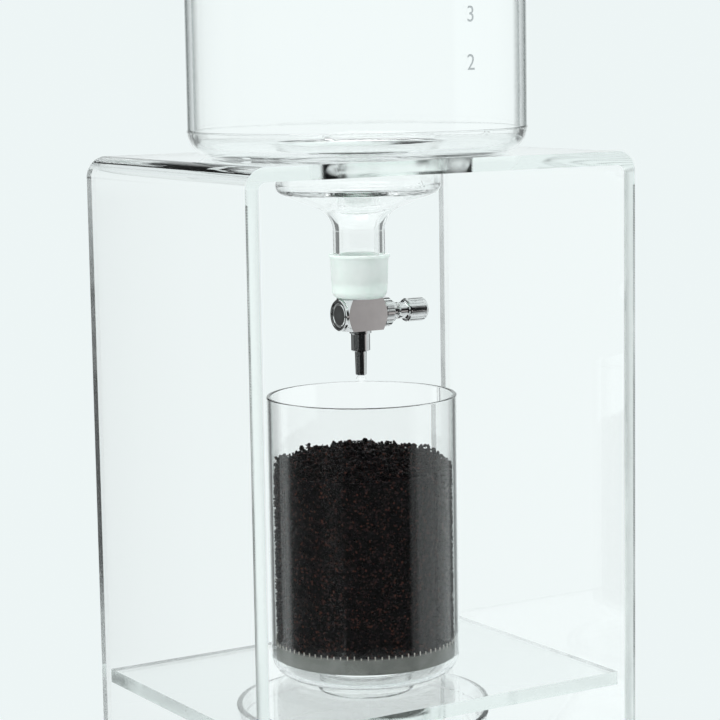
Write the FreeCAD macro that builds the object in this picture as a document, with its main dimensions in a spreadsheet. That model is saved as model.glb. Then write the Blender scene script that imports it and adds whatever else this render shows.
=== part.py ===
"""Cold drip coffee tower: a clear bent stand, a glass water bowl with a needle tap, a glass
strainer with its filter, and a glass server. Millimetres, +Z up, origin on the table under
the middle of the base plate, -Y towards the user."""
import FreeCAD, Part
import math
import os
import re
import Sketcher

# Driving dimensions, one sheet for the whole tower
SIZES = {
    # bent acrylic stand with its shelf and base plate
    "standHeight": 334.0, "standWidth": 144.0, "standDepth": 108.0, "sheetThickness": 4.5,
    "bendRadius": 2.5, "restGap": 0.05, "shelfDrop": 173.0, "shelfSetback": 3.7,
    "baseWidth": 170.0, "baseDepth": 173.0, "baseThickness": 6.0, "baseCornerRadius": 12.0,
    "grooveDepth": 2.0, "grooveClearance": 0.1,
    "footHeight": 3.0, "footDiameter": 14.0, "footInset": 15.0, "footTaper": 1.0,
    # blown glass water bowl that hangs its dish through the top plate
    "bowlDiameter": 110.6, "bowlHeight": 98.0, "bowlWall": 2.2, "bowlBaseRadius": 8.0,
    "rimRounding": 0.7, "dishDiameter": 54.2, "dishDepth": 12.2, "dishEdgeRadius": 3.0,
    "funnelDrop": 7.5, "neckDiameter": 17.1, "neckWall": 2.1, "neckLength": 22.5, "neckFlare": 8.0,
    "dishFillet": 1.2, "plateHoleClearance": 1.4,
    # lid with a turned knob held by one screw
    "lidThickness": 2.5, "lidOverhang": 0.9, "lidSkirtDepth": 5.0, "lidSkirtWall": 2.0,
    "lidSkirtClearance": 0.6, "lidKnobDiameter": 22.0, "lidKnobHeight": 12.5, "lidKnobWaist": 12.0,
    "lidKnobFoot": 1.5, "lidKnobFillet": 3.0, "lidKnobEdge": 1.2, "lidScrewDiameter": 4.0, "lidScrewDepth": 8.0,
    "lidScrewHead": 7.0, "screwEndGap": 0.5,
    # silicone connector between the bowl's neck and the tap
    "connectorDiameter": 19.2, "connectorTaper": 0.6, "connectorHeight": 14.6, "connectorLip": 0.5,
    "connectorLipHeight": 1.0, "connectorRounding": 2.4, "connectorFloor": 5.0, "fitClearance": 0.05,
    # needle tap: square bar with turned ends, its axis across the stand
    "tapDrop": 52.6, "tapSquare": 10.5, "tapLength": 14.8, "tapChamfer": 1.6, "tapChamferRise": 2.2,
    "waterBore": 2.0, "tailDiameter": 9.3, "tailWaist": 8.0, "tailHeight": 4.4, "tailBore": 3.0,
    "threadDiameter": 4.8, "threadDepth": 2.5, "capDiameter": 10.4, "capThickness": 1.1,
    "capRimWidth": 0.8, "capRecess": 0.4, "capLineWidth": 0.9, "capLineHeight": 0.15, "edgeBevel": 0.25,
    "plugDiameter": 6.2, "plugDepth": 2.0, "plugGroove": 0.7, "plugShoulder": 0.5, "plugGrooveWidth": 0.8,
    "spindleDiameter": 3.2, "seatDepth": 2.6, "needleTip": 0.7, "needleTaper": 3.0, "needleOpening": 1.2,
    "glandSpigotDiameter": 7.0, "glandSpigotLength": 2.8, "packingDiameter": 5.2, "packingLength": 1.6,
    "nutDiameter": 9.8, "nutLength": 3.7, "nutNeckDiameter": 7.1, "nutNeckLength": 1.6, "nutTeeth": 18,
    "toothDepth": 0.55, "cutterReach": 0.4, "knobGap": 1.4, "knobNeckDiameter": 5.6, "knobNeckLength": 3.2,
    "knobDiameter": 7.8, "knobLength": 7.5, "knobFlutes": 20, "fluteDepth": 0.4, "knobDome": 1.0,
    "fluteRunout": 0.8, "knobScrewDiameter": 2.0, "knobScrewRecess": 0.3, "threadEndGap": 0.2,
    # nozzle and drip tip under the tap
    "collarDiameter": 7.3, "collarHeight": 1.3, "barrelDiameter": 6.3, "barrelLength": 5.7,
    "tipDiameter": 4.0, "tipEndDiameter": 3.6, "tipLength": 8.1, "tipStem": 3.4, "tipStemLength": 3.0,
    "tipBore": 1.6,
    # glass strainer cup with an open spout, its filter and the ground coffee
    "cupDiameter": 63.0, "cupHeight": 93.5, "cupWall": 1.3, "cupBaseRadius": 6.5, "cupRimRounding": 0.4,
    "spoutDiameter": 31.3, "spoutWall": 1.4, "spoutDrop": 9.2, "spoutFlare": 0.4, "spoutLipHeight": 3.0,
    "spoutFillet": 1.8, "shelfHoleClearance": 0.9,
    "filterHeight": 5.0, "filterSeat": 6.1, "filterClearance": 0.2, "filterRingWall": 3.0,
    "filterLedge": 1.6, "filterLedgeWidth": 1.5, "filterPlateThickness": 1.5, "filterSlots": 24,
    "slotWidth": 1.4, "slotStart": 6.0, "slotEndGap": 2.0, "filterFit": 0.1, "meshThickness": 0.4,
    "bedSide": 71.5, "bedHeap": 4.0, "bedEdge": 1.5, "bedCrown": 20.0,
    # glass server on the base plate
    "serverClearance": 8.5, "serverDiameter": 100.0, "serverWall": 2.0, "serverBaseRadius": 9.0,
    "serverNeckLength": 17.0, "serverShoulderDrop": 14.0, "serverMouth": 80.0, "serverLip": 1.4,
    "serverLipHeight": 5.0, "serverShoulderRadius": 10.0, "serverNeckRadius": 6.0,
}

doc = FreeCAD.newDocument("ColdDripTower")
sheet = doc.addObject("Spreadsheet::Sheet", "Sizes")
for row, (alias, value) in enumerate(SIZES.items(), 1):
    sheet.set("A%d" % row, alias)
    sheet.set("B%d" % row, str(value))
    sheet.setAlias("B%d" % row, alias)
doc.recompute()

# Levels above the table, from which every piece is placed
PLATE_TOP = "standHeight"
SHELF_TOP = "standHeight - shelfDrop"
BASE_TOP = "footHeight + baseThickness"
TAP_AXIS = "standHeight - tapDrop"
NECK_END = "(dishDepth + funnelDrop + neckLength)"
HALF_TAP = "(tapSquare / 2)"
TAP_END = "(tapLength / 2)"
SERVER_TOP = "(standHeight - shelfDrop - sheetThickness - serverClearance - footHeight - baseThickness)"

# Marks an outline's corner that is cut straight across instead of rounded
BEVEL = "bevel"

subparts = []


def cells(expression):
    """The expression with every size name pointing at its cell."""
    return re.sub(r"[a-z]+[A-Z]\w*", lambda found: "Sizes." + found.group(0), str(expression))


def value(expression):
    result = sheet.evalExpression(cells(expression))
    return float(getattr(result, "Value", result))


def bind(thing, **sizes):
    for name, expression in sizes.items():
        thing.setExpression(name, cells(expression))


def place(piece, label, height="0", along_x=False, x="0", y="0"):
    """Names a finished piece and sets it at its height; a tap piece lies along X."""
    turn = FreeCAD.Rotation(FreeCAD.Vector(0, 1, 0), 90) if along_x else FreeCAD.Rotation()
    piece.Label = label
    piece.Placement = FreeCAD.Placement(FreeCAD.Vector(value(x), value(y), value(height)), turn)
    piece.setExpression("Placement.Base.x", cells(x))
    piece.setExpression("Placement.Base.y", cells(y))
    piece.setExpression("Placement.Base.z", cells(height))
    subparts.append(piece)
    return piece


def new_sketch(body, role, lift=None):
    """A sketch on one of the body's own origin planes, lifted off it if asked."""
    plane = [item for item in body.Origin.OriginFeatures if item.Role == role][0]
    sketch = body.newObject("Sketcher::SketchObject", "Sketch")
    sketch.AttachmentSupport = [(plane, "")]
    sketch.MapMode = "FlatFace"
    if lift is not None:
        sketch.setExpression("AttachmentOffset.Base.z", cells(lift))
    return sketch


def pin_point(sketch, geometry, end, across, up):
    """Fixes a point at two expressions from the sketch's origin."""
    for kind, expression, axis in (("DistanceX", across, -2), ("DistanceY", up, -1)):
        if str(expression) == "0":
            sketch.addConstraint(Sketcher.Constraint("PointOnObject", geometry, end, axis))
            continue
        number = sketch.addConstraint(
            Sketcher.Constraint(kind, -1, 1, geometry, end, value(expression)))
        sketch.setExpression("Constraints[%d]" % number, cells(expression))


def outline(sketch, corners):
    """A closed outline through (across, up) corners; a third entry rounds or bevels the corner."""
    points = [FreeCAD.Vector(value(corner[0]), value(corner[1]), 0) for corner in corners]
    sizes = [value(corner[2]) if len(corner) > 2 else 0.0 for corner in corners]
    bevels = [BEVEL in corner for corner in corners]
    count = len(points)
    starts, ends, turns = [], [], []
    for i in range(count):
        into = (points[i] - points[i - 1]).normalize()
        out = (points[(i + 1) % count] - points[i]).normalize()
        turn = math.atan2(into.x * out.y - into.y * out.x, into.dot(out))
        reach = sizes[i] if bevels[i] else sizes[i] * math.tan(abs(turn) / 2)
        ends.append(points[i] - into * reach)
        starts.append(points[i] + out * reach)
        turns.append((into, 1 if turn > 0 else -1))
    for i in range(count):
        sketch.addGeometry(Part.LineSegment(starts[i], ends[(i + 1) % count]), False)
    for i in range(count):
        before = (i - 1) % count
        if not sizes[i]:
            sketch.addConstraint(Sketcher.Constraint("Coincident", before, 2, i, 1))
            pin_point(sketch, i, 1, corners[i][0], corners[i][1])
            continue
        corner = sketch.addGeometry(Part.Point(points[i]), True)
        pin_point(sketch, corner, 1, corners[i][0], corners[i][1])
        sketch.addConstraint(Sketcher.Constraint("PointOnObject", corner, 1, before))
        sketch.addConstraint(Sketcher.Constraint("PointOnObject", corner, 1, i))
        if bevels[i]:
            slope = sketch.addGeometry(Part.LineSegment(ends[i], starts[i]), False)
            sketch.addConstraint(Sketcher.Constraint("Coincident", before, 2, slope, 1))
            sketch.addConstraint(Sketcher.Constraint("Coincident", slope, 2, i, 1))
            for end in (1, 2):
                number = sketch.addConstraint(
                    Sketcher.Constraint("Distance", corner, 1, slope, end, sizes[i]))
                sketch.setExpression("Constraints[%d]" % number, cells(corners[i][2]))
            continue
        into, side = turns[i]
        centre = ends[i] + FreeCAD.Vector(-into.y, into.x, 0) * sizes[i] * side
        first, last = (ends[i], starts[i]) if side > 0 else (starts[i], ends[i])
        angles = [math.atan2(point.y - centre.y, point.x - centre.x) for point in (first, last)]
        circle = Part.Circle(centre, FreeCAD.Vector(0, 0, 1), sizes[i])
        arc = sketch.addGeometry(Part.ArcOfCircle(circle, angles[0], angles[1]), False)
        near, far = (1, 2) if side > 0 else (2, 1)
        sketch.addConstraint(Sketcher.Constraint("Tangent", before, 2, arc, near))
        sketch.addConstraint(Sketcher.Constraint("Tangent", arc, far, i, 1))
        number = sketch.addConstraint(Sketcher.Constraint("Radius", arc, sizes[i]))
        sketch.setExpression("Constraints[%d]" % number, cells(corners[i][2]))


def ring(sketch, diameter, across="0", up="0"):
    """A full circle at two expressions from the sketch's origin."""
    centre = FreeCAD.Vector(value(across), value(up), 0)
    circle = Part.Circle(centre, FreeCAD.Vector(0, 0, 1), value(diameter) / 2)
    geometry = sketch.addGeometry(circle, False)
    pin_point(sketch, geometry, 3, across, up)
    number = sketch.addConstraint(Sketcher.Constraint("Diameter", geometry, value(diameter)))
    sketch.setExpression("Constraints[%d]" % number, cells(diameter))


def turned(name, corners):
    """A body turned about its own Z from half its outline in (radius, height)."""
    body = doc.addObject("PartDesign::Body", name)
    sketch = new_sketch(body, "XZ_Plane")
    outline(sketch, corners)
    spin = body.newObject("PartDesign::Revolution", "Revolution")
    spin.Profile = sketch
    spin.ReferenceAxis = (sketch, ["V_Axis"])
    spin.Angle = 360
    sketch.Visibility = False
    doc.recompute()
    return body


def groove(body, corners):
    """Turns a ring away from a body, outline in (radius, height)."""
    before = body.Shape.Volume
    sketch = new_sketch(body, "XZ_Plane")
    outline(sketch, corners)
    cut = body.newObject("PartDesign::Groove", "Groove")
    cut.Profile = sketch
    cut.ReferenceAxis = (sketch, ["V_Axis"])
    cut.Angle = 360
    doc.recompute()
    if body.Shape.Volume >= before:
        raise RuntimeError("a groove cut nothing in " + body.Name)
    return cut


def pad(body, sketch, length, midplane=False):
    feature = body.newObject("PartDesign::Pad", "Pad")
    feature.Profile = sketch
    feature.Midplane = midplane
    bind(feature, Length=length)
    doc.recompute()
    return feature


def pocket(body, sketch, length, midplane=False, flip=False):
    """Cuts a sketch into its body and makes sure that it cut."""
    before = body.Shape.Volume
    feature = body.newObject("PartDesign::Pocket", "Pocket")
    feature.Profile = sketch
    feature.Midplane = midplane
    feature.Reversed = flip
    bind(feature, Length=length)
    doc.recompute()
    if body.Shape.Volume >= before:
        raise RuntimeError("a pocket cut nothing in " + body.Name)
    return feature


def repeat_round(body, feature, count):
    """Repeats a cut evenly round the body's own Z."""
    pattern = body.newObject("PartDesign::PolarPattern", "PolarPattern")
    pattern.Originals = [feature]
    axis = [item for item in body.Origin.OriginFeatures if item.Role == "Z_Axis"][0]
    pattern.Axis = (axis, [""])
    pattern.Angle = 360
    bind(pattern, Occurrences=count)
    body.Tip = pattern
    doc.recompute()
    return pattern


# Stand: one acrylic sheet bent over both corners, with a round hole for the bowl's dish
def make_stand():
    body = doc.addObject("PartDesign::Body", "StandFrame")
    sketch = new_sketch(body, "XZ_Plane")
    outer = "bendRadius + sheetThickness"
    side, inner = "standWidth / 2", "standWidth / 2 - sheetThickness"
    top, under = "standHeight", "standHeight - sheetThickness"
    foot = "footHeight + baseThickness - grooveDepth"
    outline(sketch, [("-(%s)" % side, foot), ("-(%s)" % inner, foot),
                     ("-(%s)" % inner, under, "bendRadius"), (inner, under, "bendRadius"),
                     (inner, foot), (side, foot), (side, top, outer), ("-(%s)" % side, top, outer)])
    pad(body, sketch, "standDepth", midplane=True)
    hole = new_sketch(body, "XY_Plane", top)
    ring(hole, "dishDiameter + 2 * plateHoleClearance")
    pocket(body, hole, "2 * sheetThickness")
    place(body, "stand_frame")


# Shelf: bonded between the panels, with a hole for the strainer's spout
def make_shelf():
    body = doc.addObject("PartDesign::Body", "MiddleShelf")
    sketch = new_sketch(body, "XY_Plane")
    side, front = "(standWidth / 2 - sheetThickness)", "(standDepth / 2 - shelfSetback)"
    outline(sketch, [("-" + side, "-" + front), (side, "-" + front), (side, front), ("-" + side, front)])
    ring(sketch, "spoutDiameter + 2 * spoutFlare + 2 * shelfHoleClearance")
    pad(body, sketch, "sheetThickness")
    place(body, "middle_shelf", SHELF_TOP + " - sheetThickness")


# Base plate: two grooves hold the panels' feet, rubber feet keep it off the table
def make_base():
    body = doc.addObject("PartDesign::Body", "BasePlate")
    sketch = new_sketch(body, "XY_Plane")
    side, front, corner = "(baseWidth / 2)", "(baseDepth / 2)", "baseCornerRadius"
    outline(sketch, [("-" + side, "-" + front, corner), (side, "-" + front, corner),
                     (side, front, corner), ("-" + side, front, corner)])
    pad(body, sketch, "baseThickness")
    near = "(standWidth / 2 - sheetThickness - grooveClearance)"
    far = "(standWidth / 2 + grooveClearance)"
    deep = "(standDepth / 2 + grooveClearance)"
    for sign in ("", "-"):
        slot = new_sketch(body, "XY_Plane", "baseThickness")
        outline(slot, [(sign + near, "-" + deep), (sign + far, "-" + deep),
                       (sign + far, deep), (sign + near, deep)])
        pocket(body, slot, "grooveDepth")
    place(body, "base_plate", "footHeight")
    feet = []
    for name, x_sign, y_sign in (("FrontLeft", "-", "-"), ("FrontRight", "", "-"),
                                 ("BackLeft", "-", ""), ("BackRight", "", "")):
        foot = doc.addObject("Part::Cone", "Foot" + name)
        bind(foot, Radius1="footDiameter / 2 - footTaper", Radius2="footDiameter / 2", Height="footHeight")
        foot.setExpression("Placement.Base.x", cells(x_sign + "(baseWidth / 2 - footInset)"))
        foot.setExpression("Placement.Base.y", cells(y_sign + "(baseDepth / 2 - footInset)"))
        feet.append(foot)
    group = doc.addObject("Part::Compound", "RubberFeet")
    group.Links = feet
    place(group, "rubber_feet")


# Water bowl: cylinder, flat seat on the plate, hanging dish and neck, blown as one glass
def make_bowl():
    wide, dish, neck = "(bowlDiameter / 2)", "(dishDiameter / 2)", "(neckDiameter / 2)"
    wide_in, dish_in = "(bowlDiameter / 2 - bowlWall)", "(dishDiameter / 2 - bowlWall)"
    bore = "(neckDiameter / 2 - neckWall)"
    funnel = "(dishDepth + funnelDrop)"
    body = turned("WaterBowl", [
        (wide, "0", "bowlBaseRadius"), (wide, "bowlHeight", "rimRounding"),
        (wide_in, "bowlHeight", "rimRounding"), (wide_in, "bowlWall", "bowlBaseRadius - bowlWall"),
        (dish_in, "bowlWall", "dishFillet + bowlWall"), (dish_in, "bowlWall * 0.7 - dishDepth", "dishEdgeRadius / 2"),
        (bore, "bowlWall * 0.7 - " + funnel, "neckFlare + neckWall"), (bore, "-" + NECK_END, "edgeBevel", BEVEL),
        (neck, "-" + NECK_END, "edgeBevel", BEVEL), (neck, "-" + funnel, "neckFlare"),
        (dish, "-dishDepth", "dishEdgeRadius"), (dish, "0", "dishFillet")])
    place(body, "water_bowl", PLATE_TOP + " + restGap")


# Lid: a disc with a skirt that drops into the bowl, and a waisted knob on a screw
def make_lid():
    rim = PLATE_TOP + " + bowlHeight + 2 * restGap"
    skirt = "(bowlDiameter / 2 - bowlWall - lidSkirtClearance)"
    edge = "(bowlDiameter / 2 + lidOverhang)"
    hole = "(lidScrewDiameter / 2 + fitClearance)"
    lid = turned("BowlLid", [
        (hole, "0"), (skirt + " - lidSkirtWall", "0", "lidSkirtWall / 2"),
        (skirt + " - lidSkirtWall", "-lidSkirtDepth"), (skirt, "-lidSkirtDepth", "2 * edgeBevel", BEVEL),
        (skirt, "0"), (edge, "0", "2 * edgeBevel", BEVEL),
        (edge, "lidThickness", "lidThickness / 2"), (hole, "lidThickness")])
    place(lid, "bowl_lid", rim)
    grip, waist = "(lidKnobDiameter / 2)", "(lidKnobWaist / 2)"
    knob = turned("LidKnob", [
        ("0", "lidScrewDepth"), (hole, "lidScrewDepth"), (hole, "0"), (waist + " + lidKnobFoot", "0"),
        (waist, "lidKnobHeight * 0.35", "lidKnobFillet"), (grip, "lidKnobHeight * 0.6", "lidKnobEdge"),
        (grip, "lidKnobHeight * 0.92", "2 * edgeBevel", BEVEL), (grip + " * 0.7", "lidKnobHeight"), ("0", "lidKnobHeight")])
    place(knob, "lid_knob", rim + " + lidThickness")
    shank, head = "(lidScrewDiameter / 2)", "(lidScrewHead / 2)"
    screw = turned("LidScrew", [
        ("0", "-lidScrewDiameter * 0.55"), (head + " * 0.75", "-lidScrewDiameter * 0.55"), (head, "0"),
        (shank, "0"), (shank, "lidThickness + lidScrewDepth - screwEndGap"), ("0", "lidThickness + lidScrewDepth - screwEndGap")])
    place(screw, "lid_screw", rim)


# Connector: a moulded silicone cup, pushed up over the neck and down over the tap's tail
def make_connector():
    neck = "(neckDiameter / 2 + fitClearance)"
    tail = "(tailDiameter / 2 + fitClearance)"
    outer = "(connectorDiameter / 2)"
    lip = "(connectorHeight - connectorLipHeight)"
    body = turned("Connector", [
        (tail, "0"), (outer + " - connectorTaper", "0", "connectorRounding"), (outer, lip),
        (outer + " + connectorLip", lip),
        (outer + " + connectorLip", "connectorHeight", "edgeBevel", BEVEL), (neck, "connectorHeight"),
        (neck, "connectorFloor"), (tail, "connectorFloor")])
    place(body, "silicone_connector", TAP_AXIS + " + tapSquare / 2")


# Tap body: a square bar whose ends are turned to round, bored across for water and along for the needle
def make_tap_body():
    body = doc.addObject("PartDesign::Body", "TapBody")
    square = new_sketch(body, "XY_Plane")
    outline(square, [("-" + HALF_TAP, "-" + HALF_TAP), (HALF_TAP, "-" + HALF_TAP),
                     (HALF_TAP, HALF_TAP), ("-" + HALF_TAP, HALF_TAP)])
    pad(body, square, "tapLength", midplane=True)
    wide = HALF_TAP + " + tapChamferRise"
    for sign in ("", "-"):
        groove(body, [(HALF_TAP, sign + TAP_END), (wide, sign + "(tapLength / 2 - tapChamfer)"),
                      (wide + " + tapChamfer", sign + TAP_END)])
    spigot = new_sketch(body, "XY_Plane", TAP_END)
    ring(spigot, "glandSpigotDiameter")
    pad(body, spigot, "glandSpigotLength")
    for depth, diameter in (("tapLength / 2 + glandSpigotLength + seatDepth", "spindleDiameter + 2 * fitClearance"),
                            ("packingLength", "packingDiameter + 2 * fitClearance")):
        bore = new_sketch(body, "XY_Plane", "tapLength / 2 + glandSpigotLength")
        ring(bore, diameter)
        pocket(body, bore, depth)
    rear = new_sketch(body, "XY_Plane", "-" + TAP_END)
    ring(rear, "plugDiameter + 2 * fitClearance")
    pocket(body, rear, "plugDepth + fitClearance", flip=True)
    seat = new_sketch(body, "XY_Plane")
    ring(seat, "waterBore")
    pocket(body, seat, "tapLength", midplane=True)
    water = new_sketch(body, "YZ_Plane")
    ring(water, "waterBore")
    pocket(body, water, "2 * tapSquare", midplane=True)
    for sign, flip in (("-", True), ("", False)):
        thread = new_sketch(body, "YZ_Plane", sign + HALF_TAP)
        ring(thread, "threadDiameter + 2 * fitClearance")
        pocket(body, thread, "threadDepth", flip=flip)
    place(body, "tap_body", TAP_AXIS, along_x=True)


# Inlet tail: screwed into the tap's top, its bead grips the silicone
def make_tail():
    bore, thread = "(tailBore / 2)", "(threadDiameter / 2)"
    wide, waist = "(tailDiameter / 2)", "(tailWaist / 2)"
    body = turned("InletTail", [
        (bore, "-threadDepth + threadEndGap"), (thread, "-threadDepth + threadEndGap"), (thread, "0"), (wide, "0"),
        (wide, "tailHeight * 0.2"), (waist, "tailHeight * 0.35"), (waist, "tailHeight * 0.5"),
        (wide, "tailHeight * 0.7"), (wide, "tailHeight * 0.8"), (waist, "tailHeight"), (bore, "tailHeight")])
    place(body, "inlet_tail", TAP_AXIS + " + tapSquare / 2")


# End cap: a plug with a sealing ring, its face dished inside a raised rim
def make_end_cap():
    wide, stem = "(capDiameter / 2)", "(plugDiameter / 2)"
    cap = turned("EndCap", [
        ("0", "capRecess"), (wide + " - capRimWidth - capLineWidth", "capRecess"),
        (wide + " - capRimWidth - 0.75 * capLineWidth", "capRecess + capLineHeight"),
        (wide + " - capRimWidth", "capRecess"), (wide + " - capRimWidth", "0"), (wide, "0", "edgeBevel", BEVEL),
        (wide, "capThickness"), (stem, "capThickness"), (stem, "capThickness + plugShoulder"),
        (stem + " - plugGroove", "capThickness + plugShoulder"),
        (stem + " - plugGroove", "capThickness + plugShoulder + plugGrooveWidth"),
        (stem, "capThickness + plugShoulder + plugGrooveWidth"), (stem, "capThickness + plugDepth"),
        ("0", "capThickness + plugDepth")])
    place(cap, "tap_end_cap", TAP_AXIS, along_x=True, x="-%s - capThickness" % TAP_END)
    groove_floor, near = stem + " - plugGroove + fitClearance", "(plugShoulder + fitClearance)"
    far = "(plugShoulder + plugGrooveWidth - fitClearance)"
    seal = turned("EndCapSeal", [
        (groove_floor, near), (stem, near, "edgeBevel", BEVEL), (stem, far, "edgeBevel", BEVEL),
        (groove_floor, far)])
    place(seal, "end_cap_seal", TAP_AXIS, along_x=True, x="-" + TAP_END)


# Gland: packing in the spigot's mouth, pressed by a toothed nut that the spindle runs through
def make_gland():
    shaft = "(spindleDiameter / 2 + fitClearance)"
    packing = turned("GlandPacking", [
        (shaft, "0"), ("packingDiameter / 2", "0"), ("packingDiameter / 2", "packingLength - fitClearance"),
        (shaft, "packingLength - fitClearance")])
    start = TAP_END + " + glandSpigotLength"
    place(packing, "gland_packing", TAP_AXIS, along_x=True, x=start + " - packingLength + fitClearance")
    spigot = "(glandSpigotDiameter / 2 + fitClearance)"
    wide, neck = "(nutDiameter / 2)", "(nutNeckDiameter / 2)"
    inner_end = "(glandSpigotLength + fitClearance)"
    nut = turned("GlandNut", [
        (spigot, "fitClearance"), (wide + " - toothDepth / 2", "fitClearance"), (wide, "toothDepth"),
        (wide, "nutLength - toothDepth"), (wide + " - toothDepth", "nutLength"), (neck, "nutLength"),
        (neck, "nutLength + nutNeckLength", "edgeBevel", BEVEL), (shaft, "nutLength + nutNeckLength"),
        (shaft, inner_end), (spigot, inner_end)])
    notch = new_sketch(nut, "XY_Plane", "nutLength")
    outline(notch, [(wide + " - toothDepth", "0"), (wide + " + cutterReach", "-(nutDiameter * 2.4 / nutTeeth / 2)"),
                    (wide + " + cutterReach", "nutDiameter * 2.4 / nutTeeth / 2")])
    repeat_round(nut, pocket(nut, notch, "nutLength"), "nutTeeth")
    place(nut, "gland_nut", TAP_AXIS, along_x=True, x=TAP_END)


# Needle spindle: tapered tip over the seat, and the fluted fingertip knob on its end
def make_needle():
    shaft = "(spindleDiameter / 2)"
    tip = "(needleOpening - seatDepth)"
    face = "(%s + nutLength + nutNeckLength + knobGap)" % TAP_END
    spindle = turned("NeedleSpindle", [
        ("0", tip), ("needleTip / 2", tip), (shaft, tip + " + needleTaper"),
        (shaft, face + " + knobLength"), ("0", face + " + knobLength")])
    place(spindle, "needle_spindle", TAP_AXIS, along_x=True)
    hole = "(spindleDiameter / 2 + fitClearance)"
    neck, wide = "(knobNeckDiameter / 2)", "(knobDiameter / 2)"
    knob = turned("NeedleKnob", [
        (hole, "0"), (neck, "0", "edgeBevel", BEVEL), (neck, "knobNeckLength", "edgeBevel", BEVEL),
        (wide, "knobNeckLength + edgeBevel", "edgeBevel", BEVEL),
        (wide, "knobNeckLength + knobLength", "knobDome"), ("0", "knobNeckLength + knobLength + knobDome / 2"),
        ("0", "knobLength + 2 * fitClearance"), (hole, "knobLength + 2 * fitClearance")])
    flute = new_sketch(knob, "XY_Plane", "knobNeckLength + knobLength - knobDome")
    outline(flute, [(wide + " - fluteDepth", "0"), (wide + " + cutterReach", "-(knobDiameter * 2.2 / knobFlutes / 2)"),
                    (wide + " + cutterReach", "knobDiameter * 2.2 / knobFlutes / 2")])
    repeat_round(knob, pocket(knob, flute, "knobLength - knobDome - fluteRunout"), "knobFlutes")
    cross = new_sketch(knob, "YZ_Plane")
    ring(cross, "knobScrewDiameter + 2 * fitClearance", "0", "knobNeckLength / 2")
    pocket(knob, cross, "knobNeckDiameter")
    place(knob, "needle_knob", TAP_AXIS, along_x=True, x=face)
    screw = turned("KnobScrew", [
        ("0", hole), ("knobScrewDiameter / 2", hole), ("knobScrewDiameter / 2", neck + " - knobScrewRecess"),
        ("0", neck + " - knobScrewRecess")])
    place(screw, "knob_screw", TAP_AXIS, x=face + " + knobNeckLength / 2")


# Nozzle: a collared barrel screwed under the tap, with a thin drip tip pressed in
def make_nozzle():
    bore, thread = "(waterBore / 2)", "(threadDiameter / 2)"
    stem = "(tipStem / 2 + fitClearance)"
    low = "(collarHeight + barrelLength)"
    body = turned("NozzleBody", [
        (bore, "threadDepth - threadEndGap"), (bore, "-(%s - tipStemLength - threadEndGap)" % low),
        (stem, "-(%s - tipStemLength - threadEndGap)" % low), (stem, "-" + low),
        ("barrelDiameter / 2", "-" + low, "edgeBevel", BEVEL), ("barrelDiameter / 2", "-collarHeight"),
        ("collarDiameter / 2", "-collarHeight", "edgeBevel", BEVEL), ("collarDiameter / 2", "0", "edgeBevel", BEVEL),
        (thread, "0"), (thread, "threadDepth - threadEndGap")])
    place(body, "nozzle_body", TAP_AXIS + " - tapSquare / 2")
    tip = turned("NozzleTip", [
        ("tipStem / 2", "0"), ("tipStem / 2", "tipStemLength"), ("tipBore / 2", "tipStemLength"),
        ("tipBore / 2", "-tipLength"), ("tipEndDiameter / 2", "-tipLength", "edgeBevel", BEVEL),
        ("tipDiameter / 2", "0", "edgeBevel", BEVEL)])
    place(tip, "nozzle_tip", TAP_AXIS + " - tapSquare / 2 - " + low)


# Strainer: a straight glass cup that narrows to an open spout through the shelf
def make_strainer():
    wide, spout = "(cupDiameter / 2)", "(spoutDiameter / 2)"
    wide_in, spout_in = "(cupDiameter / 2 - cupWall)", "(spoutDiameter / 2 - spoutWall)"
    body = turned("StrainerGlass", [
        (wide, "0", "cupBaseRadius"), (wide, "cupHeight", "cupRimRounding"),
        (wide_in, "cupHeight", "cupRimRounding"), (wide_in, "cupWall", "cupBaseRadius - cupWall"),
        (spout_in, "cupWall", "spoutFillet"), (spout_in, "spoutLipHeight - spoutDrop"),
        (spout_in + " + spoutFlare", "-spoutDrop", "edgeBevel", BEVEL),
        (spout + " + spoutFlare", "-spoutDrop", "edgeBevel", BEVEL), (spout, "spoutLipHeight - spoutDrop"),
        (spout, "0", "edgeBevel", BEVEL)])
    place(body, "strainer_glass", SHELF_TOP + " + restGap")


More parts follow.
